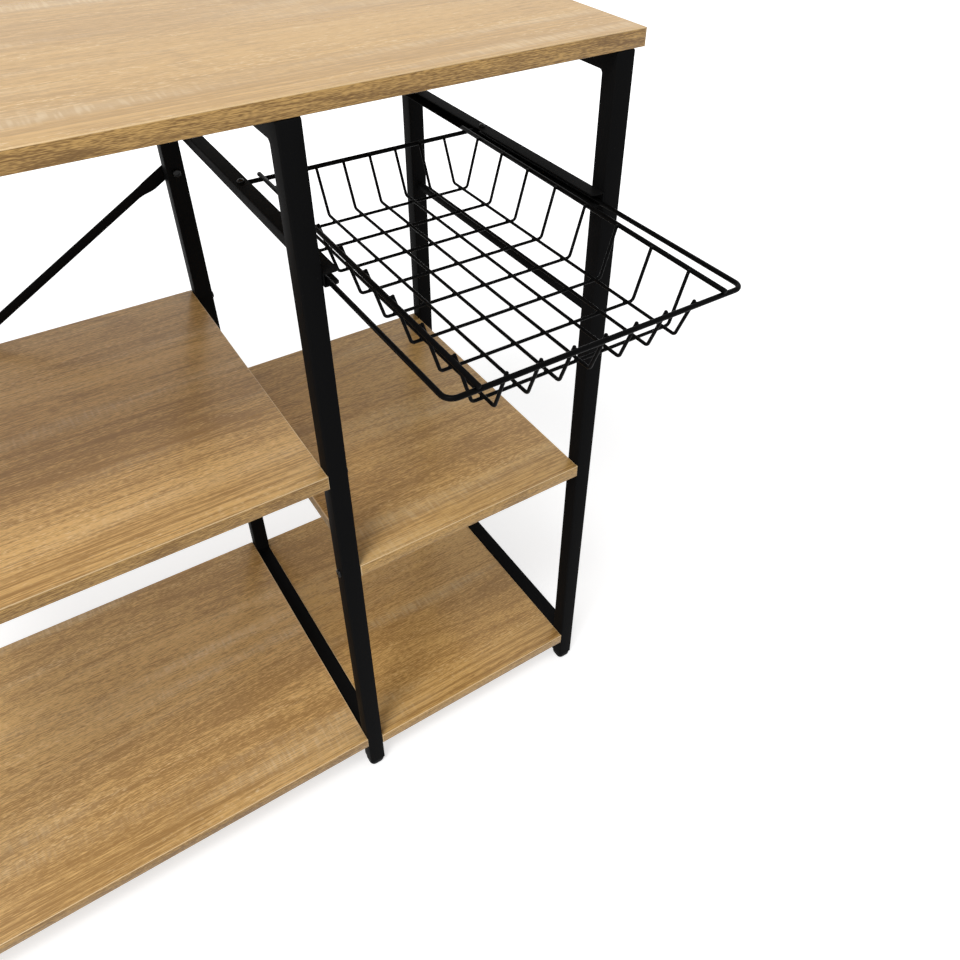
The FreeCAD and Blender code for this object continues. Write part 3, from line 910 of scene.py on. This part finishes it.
class RACK_OT_crossbars(Operator):
    """Make the welded lower tubes with their seats and weld beads"""
    bl_idname = "rack.crossbars"
    bl_label = "Crossbars"

    def execute(self, context):
        settings = context.scene.rack_steel
        coat = coating("black_coat", settings.coat)
        for side in SIDES:
            node = side + "_crossbar"
            low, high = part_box(node)
            hoop_low, hoop_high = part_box(side + "_frame_hoop")
            tube = hoop_high.x - hoop_low.x
            middle = Vector((hoop_low.x + tube / 2, 0, (low.z + high.z) / 2))
            ends = [middle + BACK * low.y, middle + BACK * high.y]
            parts = [square_bar("bar", *ends, tube, settings.tube_corner)]
            for bay, start, end in (("left", low.x, hoop_low.x), ("right", hoop_high.x, high.x)):
                if end - start > settings.sheet:
                    shelf = (bay if side == "middle" else side) + "_base_shelf"
                    parts += self.seats(settings, shelf, start, end)
            dress(join_pieces("steel_" + node, parts), coat, "rack", [node])
            reach = tube / 2 - settings.tube_corner
            edge = tube / 2 - settings.weld / 10
            beads = []
            for end, normal in zip(ends, (-BACK, BACK)):
                for z in (edge, -edge):
                    outline = [Vector((-reach, 0, z)), Vector((reach, 0, z))]
                    beads += weld_row(end, normal, outline, settings.weld)
            dress(join_pieces("weld_" + node, beads), coat, "rack")
        return {"FINISHED"}

    def seats(self, settings, shelf, start, end):
        """Sheet tabs under the front and back of a base shelf."""
        low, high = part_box(shelf + "_edge_band")
        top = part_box(shelf)[0].z
        half = settings.seat_width / 2
        made = []
        for y in (low.y + settings.seat_inset, high.y - settings.seat_inset):
            seat = add_block("seat", Vector((start, y - half, top - settings.seat_thickness)),
                             Vector((end, y + half, top)))
            begin_edit()
            pick_edges(seat, lambda place, along, angle: abs(along.z) > ALONG)
            round_edges(settings.seat_corner, 4)
            end_edit()
            made.append(seat)
        return made


def rounded_foot(name, low, high, settings):
    """A domed cap under a leg, with a plug above it in the tube."""
    top = low.z + settings.foot_height
    foot = add_block(name, low, Vector((high.x, high.y, top)))
    begin_edit()
    pick_edges(foot, lambda place, along, angle: abs(along.z) > ALONG)
    round_edges(settings.foot_corner, 6)
    pick_edges(foot, lambda place, along, angle: place.z < low.z + NEAR)
    round_edges(settings.foot_rounding, 6)
    pick_faces(foot, lambda place, normal: normal.z > ALONG)
    bpy.ops.mesh.inset(thickness=settings.foot_wall)
    extrude(UP * (high.z - top))
    end_edit()
    return foot


class RACK_OT_feet(Operator):
    """Make the plastic feet in the legs"""
    bl_idname = "rack.feet"
    bl_label = "Feet"

    def execute(self, context):
        settings = context.scene.rack_steel
        for side in SIDES:
            for end in ("front", "rear"):
                node = side + "_" + end + "_foot"
                foot = rounded_foot("plastic_" + node, *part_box(node), settings)
                dress(foot, coating("foot_plastic", settings.plastic), "rack", [node])
        return {"FINISHED"}


def brace_bar(name, stations):
    """A bar along X whose round section is pressed to each station's width and depth."""
    x, y, width, depth = stations[0]
    bar = add_disc(name, Vector((x, y, 0)), RIGHT, 1.0, 20)
    begin_edit()
    bpy.ops.transform.resize(value=(1, depth, width), center_override=(x, y, 0))
    for new_x, new_y, new_width, new_depth in stations[1:]:
        extrude((new_x - x, new_y - y, 0))
        bpy.ops.transform.resize(value=(1, new_depth / depth, new_width / width),
                                 center_override=(new_x, new_y, 0))
        x, y, width, depth = new_x, new_y, new_width, new_depth
    end_edit()
    return bar


class RACK_OT_braces(Operator):
    """Make the two crossed brace rods with their pressed ends and middles"""
    bl_idname = "rack.braces"
    bl_label = "Crossed brace"

    def execute(self, context):
        settings = context.scene.rack_steel
        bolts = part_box("brace_bolts")
        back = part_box("left_middle_shelf_edge_band")[1].y
        crossing = middle_of("left_middle_shelf_edge_band")
        crossing.y = 0
        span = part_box("middle_frame_hoop")[0].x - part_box("left_frame_hoop")[0].x
        rise = bolts[1].z - bolts[0].z - BOLT_HEAD[0]
        half_length = math.hypot(span, rise) / 2
        axis_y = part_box("rising_brace")[1].y - settings.brace_diameter / 2
        half_flat = settings.flat_thickness / 2
        for node, turn, level in (("rising_brace", -1, 1), ("falling_brace", 1, 3)):
            middle_y = back + level * half_flat
            stations = self.stations(settings, half_length, back + half_flat, middle_y, axis_y)
            bar = brace_bar("steel_" + node, stations)
            bar.rotation_euler = (0, turn * math.atan2(rise, span), 0)
            bar.location = crossing
            apply_place(bar)
            dress(bar, coating("black_coat", settings.coat), "rack", [node], 50)
        return {"FINISHED"}

    def stations(self, settings, half_length, end_y, middle_y, axis_y):
        """Half of the bar from its rounded eye to the crossing, then its mirror image."""
        wide = settings.flat_width
        thin = settings.flat_thickness
        thick = settings.brace_diameter

        def eased(x, share, flat_y):
            ease = share * share * (3 - 2 * share)
            return (x, flat_y + ease * (axis_y - flat_y),
                    wide + ease * (thick - wide), thin + ease * (thick - thin))

        half = [(-half_length - wide / 2 * math.cos(turn), end_y, wide * math.sin(turn), thin)
                for turn in map(math.radians, EYE_ANGLES)]
        start = -half_length + settings.end_flat
        half += [eased(start + share * settings.taper, share, end_y) for share in TAPER_SHARES]
        end = -settings.middle_flat
        half += [eased(end - share * settings.taper, share, middle_y) for share in reversed(TAPER_SHARES)]
        return half + [(-x, y, width, depth) for x, y, width, depth in reversed(half)]


def screw_head(size, height=HEAD_HEIGHT):
    """A domed screw head with a six-sided socket, standing on Z = 0: size is the head's and the socket's."""
    diameter, socket = size
    head = add_cylinder("head", 24, diameter, 0, height)
    begin_edit()
    pick_edges(head, lambda place, along, angle: place.z > height - NEAR)
    bpy.ops.mesh.bevel(offset=height * HEAD_DOME, segments=4, affect="EDGES", profile=DOME_PROFILE)
    end_edit()
    cutter = add_cylinder("socket", 6, socket, height / 2, height * 3 / 2)
    apply_modifier(head, "BOOLEAN", operation="DIFFERENCE", object=cutter)
    remove_piece(cutter)
    return head


def nut_piece(width, height):
    """A six-sided nut with chamfered corners, a hole and the end of its bolt."""
    nut = add_cylinder("nut", 6, 2 * width / math.sqrt(3), 0, height)
    begin_edit()
    pick_edges(nut, lambda place, along, angle: place.z > height - NEAR)
    round_edges(height * NUT_CHAMFER, 2)
    pick_faces(nut, lambda place, normal: normal.z > ALONG)
    bpy.ops.mesh.inset(thickness=width * NUT_RIM)
    extrude(UP * (-height * NUT_HOLE))
    end_edit()
    return nut


class RACK_OT_fasteners(Operator):
    """Make the screws, bolts and nuts"""
    bl_idname = "rack.fasteners"
    bl_label = "Screws and bolts"

    def execute(self, context):
        settings = context.scene.rack_steel
        hoops = {side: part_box(side + "_frame_hoop") for side in SIDES}
        low, high = hoops["left"]
        front, back = low.y, high.y
        half = (high.x - low.x) / 2

        places = []
        for bay, first, last in (("left", "left", "middle"), ("right", "middle", "right")):
            z = middle_of(bay + "_middle_shelf").z
            for y in (front + half, back - half):
                places.append((Vector((hoops[first][0].x, y, z)), -RIGHT))
                places.append((Vector((hoops[last][1].x, y, z)), RIGHT))
        self.fasten(settings, "screw", "shelf_screws", screw_head(SHELF_HEAD), places)

        places = []
        for node in ("left_base_shelf", "right_base_shelf"):
            low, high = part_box(node)
            for x in (low.x + settings.screw_inset, high.x - settings.screw_inset):
                for y in (front + settings.seat_inset, back - settings.seat_inset):
                    places.append((Vector((x, y, low.z - settings.seat_thickness)), -UP))
        self.fasten(settings, "screw", "base_shelf_screws", screw_head(SMALL_HEAD), places)

        low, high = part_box("worktop_screws")
        radius = SMALL_HEAD[0] / 2
        places = [(Vector((hoops[side][0].x + half, y, low.z + HEAD_HEIGHT)), -UP)
                  for side in SIDES for y in (low.y + radius, high.y - radius)]
        self.fasten(settings, "screw", "worktop_screws", screw_head(SMALL_HEAD), places)

        low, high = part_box("brace_bolts")
        radius = BOLT_HEAD[0] / 2
        legs = [(hoops[side][0].x + half, z)
                for side in ("left", "middle") for z in (low.z + radius, high.z - radius)]
        places = [(Vector((x, high.y - HEAD_HEIGHT, z)), BACK) for x, z in legs]
        self.fasten(settings, "bolt", "brace_bolts", screw_head(BOLT_HEAD), places)
        low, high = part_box("brace_nuts")
        places = [(Vector((x, high.y, z)), -BACK) for x, z in legs]
        self.fasten(settings, "nut", "brace_nuts", nut_piece(NUT_WIDTH, high.y - low.y), places)

        place = middle_of("brace_centre_screw")
        place.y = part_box("brace_centre_screw")[1].y - HEAD_HEIGHT
        self.fasten(settings, "screw", "brace_centre_screw", screw_head(SHELF_HEAD), [(place, BACK)])
        return {"FINISHED"}

    def fasten(self, settings, kind, node, source, places):
        """Copies of one fastener at each place, as one piece."""
        piece = join_pieces(kind + "_" + node, scatter(source, places))
        dress(piece, coating("black_zinc", settings.zinc), "rack", [node])


class RACK_OT_hanging_bar(Operator):
    """Make the round hanging bar of the right frame"""
    bl_idname = "rack.hanging_bar"
    bl_label = "Hanging bar"

    def execute(self, context):
        settings = context.scene.rack_steel
        coat = coating("black_coat", settings.coat)
        low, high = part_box("right_hanging_bar")
        middle = (low + high) / 2
        ends = [Vector((middle.x, y, middle.z)) for y in (low.y, high.y)]
        diameter = high.x - low.x
        bar = round_bar("steel_right_hanging_bar", ends, diameter, 28)
        dress(bar, coat, "rack", ["right_hanging_bar"])
        ring = [diameter / 2 * Vector((math.cos(turn), 0, math.sin(turn)))
                for turn in map(math.radians, range(0, 361, 15))]
        beads = []
        for end, normal in zip(ends, (-BACK, BACK)):
            beads += weld_row(end, normal, ring, settings.weld * BAR_WELD)
        dress(join_pieces("weld_right_hanging_bar", beads), coat, "rack")
        return {"FINISHED"}


def channel_rail(name, low, high, open_side, settings):
    """A sheet channel, open at one side and at the front, with rounded flange corners."""
    edge, fold = (high.x, low.x) if open_side.x > 0 else (low.x, high.x)
    rail = add_block(name, low, high)
    begin_edit()
    pick_faces(rail, lambda place, normal: normal.dot(open_side) > ALONG or normal.y < -ALONG)
    bpy.ops.mesh.delete(type="FACE")
    pick_corners(rail, lambda place: abs(place.x - edge) < NEAR and place.y < low.y + NEAR)
    round_edges(settings.rail_corner, 6, "VERTICES")
    pick_edges(rail, lambda place, along, angle: abs(place.x - fold) < NEAR and abs(along.y) > ALONG)
    round_edges(settings.sheet * RAIL_FOLD, 3)
    end_edit()
    apply_modifier(rail, "SOLIDIFY", thickness=settings.sheet, offset=-1)
    return rail


class RACK_OT_rails(Operator):
    """Make the basket's channel rails and their stop pins"""
    bl_idname = "rack.rails"
    bl_label = "Basket rails"

    def execute(self, context):
        settings = context.scene.rack_steel
        nodes = ("left_basket_rail", "right_basket_rail")
        for node, open_side in zip(nodes, (RIGHT, -RIGHT)):
            rail = channel_rail("steel_" + node, *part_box(node), open_side, settings)
            dress(rail, coating("black_coat", settings.coat), "rack", [node])
        low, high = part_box("basket_stop_pins")
        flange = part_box("left_basket_rail")[1].z
        tops = [Vector((middle_of(node).x, (low.y + high.y) / 2, flange)) for node in nodes]
        pins = [round_bar("pin", [Vector((top.x, top.y, low.z)), top], PIN_DIAMETER, 16) for top in tops]
        pins += scatter(screw_head(PIN_HEAD, high.z - flange), [(top, UP) for top in tops])
        dress(join_pieces("pin_basket_stop_pins", pins), coating("black_zinc", settings.zinc), "rack",
              ["basket_stop_pins"])
        return {"FINISHED"}


class RACK_OT_basket_rods(Operator):
    """Make the basket's rim, its rear rod and the two inner rods"""
    bl_idname = "rack.basket_rods"
    bl_label = "Basket rim and rods"

    def execute(self, context):
        settings = context.scene.rack_basket
        low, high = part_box("basket_rim")
        rod = high.z - low.z
        half = rod / 2
        left, right, front, z = low.x + half, high.x - half, low.y + half, low.z + half
        paths = {"basket_rim": [Vector((left, high.y, z)), Vector((left, front, z)),
                                Vector((right, front, z)), Vector((right, high.y, z))]}
        low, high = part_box("basket_rear_rod")
        middle = (low + high) / 2
        paths["basket_rear_rod"] = [Vector((x, middle.y, middle.z)) for x in (low.x, high.x)]
        for node in ("basket_left_inner_rod", "basket_right_inner_rod"):
            low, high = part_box(node)
            x = (low.x + high.x) / 2
            paths[node] = [Vector((x, low.y, low.z + half)), Vector((x, high.y, high.z - half))]
        for node, points in paths.items():
            piece = round_bar("wire_" + node, points, rod, settings.rod_sides, settings.rim_corner, 10)
            dress(piece, coating("wire_coat", settings.coat), "basket", [node])
        return {"FINISHED"}


def wire_points(node, settings, along):
    """The path of one basket wire, from its box and the lean of its walls below the rods."""
    low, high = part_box(node)
    rim_low, rim_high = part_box("basket_rim")
    middle = (low + high) / 2
    wire = min(high.x - low.x, high.y - low.y)
    half = wire / 2
    floor = low.z + half
    rear_top = high.z - half * WIRE_LAP
    if along == "x":
        ends = (low.x + half, high.x - half)
        leans = (settings.side_lean, settings.side_lean)
        tops = (rear_top, rear_top)
    else:
        ends = (low.y + half, high.y - half)
        leans = (settings.front_lean, settings.rear_lean)
        tops = (rim_high.z, rear_top)
    rod = rim_high.z - rim_low.z
    feet = [lean * (top - floor) / (top - rod / 2 - floor) for lean, top in zip(leans, tops)]
    path = ((ends[0], tops[0]), (ends[0] + feet[0], floor), (ends[1] - feet[1], floor), (ends[1], tops[1]))
    if along == "x":
        return [Vector((place, middle.y, z)) for place, z in path], wire
    return [Vector((middle.x, place, z)) for place, z in path], wire


class RACK_OT_basket_wires(Operator):
    """Make the bent wires of the basket's floor and walls, and their spot welds"""
    bl_idname = "rack.basket_wires"
    bl_label = "Basket wires"

    def execute(self, context):
        settings = context.scene.rack_basket
        coat = coating("wire_coat", settings.coat)
        cross = sorted(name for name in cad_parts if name.startswith("basket_cross_wire"))
        long = sorted(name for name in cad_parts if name.startswith("basket_long_wire"))
        for names, along in ((cross, "x"), (long, "y")):
            for node in names:
                points, wire = wire_points(node, settings, along)
                piece = round_bar("wire_" + node, points, wire, settings.wire_sides, settings.wire_bend)
                dress(piece, coat, "basket", [node])
        beads = scatter(add_bead("bead", settings.weld, BEAD_HEIGHT), self.weld_places(cross, long))
        dress(join_pieces("weld_basket_wires", beads), coat, "basket")
        return {"FINISHED"}

    def weld_places(self, cross, long):
        """Where wires cross on the floor, and where they meet the rods."""
        places = []
        low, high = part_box(cross[0])
        contact = low.z + high.y - low.y
        rim_low, rim_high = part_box("basket_rim")
        reach = (rim_high.z - rim_low.z) / 2
        for node in cross:
            low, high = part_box(node)
            y = middle_of(node).y
            places += [(Vector((middle_of(other).x, y, contact)), UP) for other in long]
            places += [(Vector((x, y, high.z - reach)), RIGHT) for x in (low.x, high.x)]
        for node in long:
            low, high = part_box(node)
            x = middle_of(node).x
            places.append((Vector((x, low.y, rim_high.z - reach)), BACK))
            places.append((Vector((x, high.y, high.z - reach)), BACK))
        return places


def aim(thing, direction, roll=0.0):
    turn = Vector(direction).to_track_quat("-Z", "Y")
    thing.rotation_euler = (turn @ Quaternion((0, 0, 1), roll)).to_euler()


def pale_surround(tree, shown, kept):
    """Join a plain colour for the camera and for reflections with the real shader for other rays."""
    path = put(tree, "ShaderNodeLightPath").outputs
    seen = calculate(tree, "MAXIMUM", path["Is Camera Ray"], path["Is Glossy Ray"])
    seen = calculate(tree, "MAXIMUM", seen, path["Is Transmission Ray"])
    return put(tree, "ShaderNodeMixShader", {0: seen, 1: kept, 2: shown}).outputs[0]


class RACK_OT_stage(Operator):
    """Make the floor, the light and the camera"""
    bl_idname = "rack.stage"
    bl_label = "Stage"

    def execute(self, context):
        scene = context.scene
        settings = scene.rack_stage
        scene.view_settings.view_transform = "Standard"
        self.floor(settings)
        self.sky(scene, settings)
        for kind in ("key", "fill"):
            lamp = bpy.data.lights.new(kind + "_light", "AREA")
            lamp.energy = getattr(settings, kind + "_power")
            lamp.size = getattr(settings, kind + "_size")
            made = bpy.data.objects.new(lamp.name, lamp)
            made.location = getattr(settings, kind + "_place")
            aim(made, Vector(TARGETS[kind]) - made.location)
            scene.collection.objects.link(made)
        camera = bpy.data.cameras.new("camera")
        camera.sensor_width = SENSOR
        camera.lens = settings.lens
        camera.shift_x, camera.shift_y = settings.shift
        camera.clip_start = 0.01
        made = bpy.data.objects.new("camera", camera)
        made.location = settings.eye
        aim(made, settings.look, settings.roll)
        scene.collection.objects.link(made)
        scene.camera = made
        return {"FINISHED"}

    def floor(self, settings):
        """A pale floor that keeps the shadow near the rack and turns white further away."""
        select_only()
        bpy.ops.mesh.primitive_plane_add(size=settings.floor_size)
        floor = name_piece("floor")
        constants = {"Base Color": colour4(settings.floor), "Roughness": 0.9, "Specular IOR Level": 0.1}
        material, tree, shader = new_material("pale_floor", constants)
        place = put(tree, "ShaderNodeTexCoord").outputs["Object"]
        distance = put(tree, "ShaderNodeVectorMath", {0: place}, operation="LENGTH").outputs["Value"]
        far = between(tree, distance, *settings.floor_fade)
        rise = calculate(tree, "MULTIPLY_ADD", far, 1.0 - settings.floor_glow, settings.floor_glow)
        glow = put(tree, "ShaderNodeEmission", {"Color": (1, 1, 1, 1), "Strength": rise}).outputs[0]
        none = put(tree, "ShaderNodeEmission", {"Strength": 0.0}).outputs[0]
        surround = pale_surround(tree, glow, none)
        add = put(tree, "ShaderNodeAddShader", {0: shader.outputs[0], 1: surround}).outputs[0]
        tree.links.new(add, tree.nodes["Material Output"].inputs["Surface"])
        arrange(tree)
        floor.data.materials.append(material)

    def sky(self, scene, settings):
        """Even light from all round, in front of a white background."""
        scene.world = bpy.data.worlds.new("studio")
        scene.world.use_nodes = True
        tree = scene.world.node_tree
        light = tree.nodes["Background"]
        light.inputs["Color"].default_value = (1, 1, 1, 1)
        light.inputs["Strength"].default_value = settings.sky
        shown = put(tree, "ShaderNodeBackground", {"Color": (1, 1, 1, 1), "Strength": 1.0}).outputs[0]
        surround = pale_surround(tree, shown, light.outputs[0])
        tree.links.new(surround, tree.nodes["World Output"].inputs["Surface"])
        arrange(tree)


class RACK_PT_panel(Panel):
    """Lists the steps that build the rack and the sizes and colours that can be changed"""
    bl_idname = "RACK_PT_panel"
    bl_label = "Kitchen Rack"
    bl_space_type = "VIEW_3D"
    bl_region_type = "UI"
    bl_category = "Kitchen Rack"

    def draw(self, context):
        for step in STEPS:
            self.layout.operator(step.bl_idname)
        for name, group in SETTINGS:
            box = self.layout.box()
            for field in group.__annotations__:
                box.prop(getattr(context.scene, name), field)


STEPS = (RACK_OT_stage, RACK_OT_boards, RACK_OT_frames, RACK_OT_crossbars, RACK_OT_feet, RACK_OT_braces,
         RACK_OT_fasteners, RACK_OT_hanging_bar, RACK_OT_rails, RACK_OT_basket_rods, RACK_OT_basket_wires)
SETTINGS = (("rack_boards", RackBoardSettings), ("rack_steel", RackSteelSettings),
            ("rack_basket", RackBasketSettings), ("rack_stage", RackStageSettings))


def register():
    for name, group in SETTINGS:
        bpy.utils.register_class(group)
        setattr(bpy.types.Scene, name, PointerProperty(type=group))
    for step in STEPS:
        bpy.utils.register_class(step)
    bpy.utils.register_class(RACK_PT_panel)


def unregister():
    bpy.utils.unregister_class(RACK_PT_panel)
    for step in reversed(STEPS):
        bpy.utils.unregister_class(step)
    for name, group in reversed(SETTINGS):
        delattr(bpy.types.Scene, name)
        bpy.utils.unregister_class(group)


def main():
    register()
    select_only()
    bpy.ops.rack.stage()
    bpy.ops.rack.boards()
    bpy.ops.rack.frames()
    bpy.ops.rack.crossbars()
    bpy.ops.rack.feet()
    bpy.ops.rack.braces()
    bpy.ops.rack.fasteners()
    bpy.ops.rack.hanging_bar()
    bpy.ops.rack.rails()
    bpy.ops.rack.basket_rods()
    bpy.ops.rack.basket_wires()


if __name__ == "__main__":
    main()
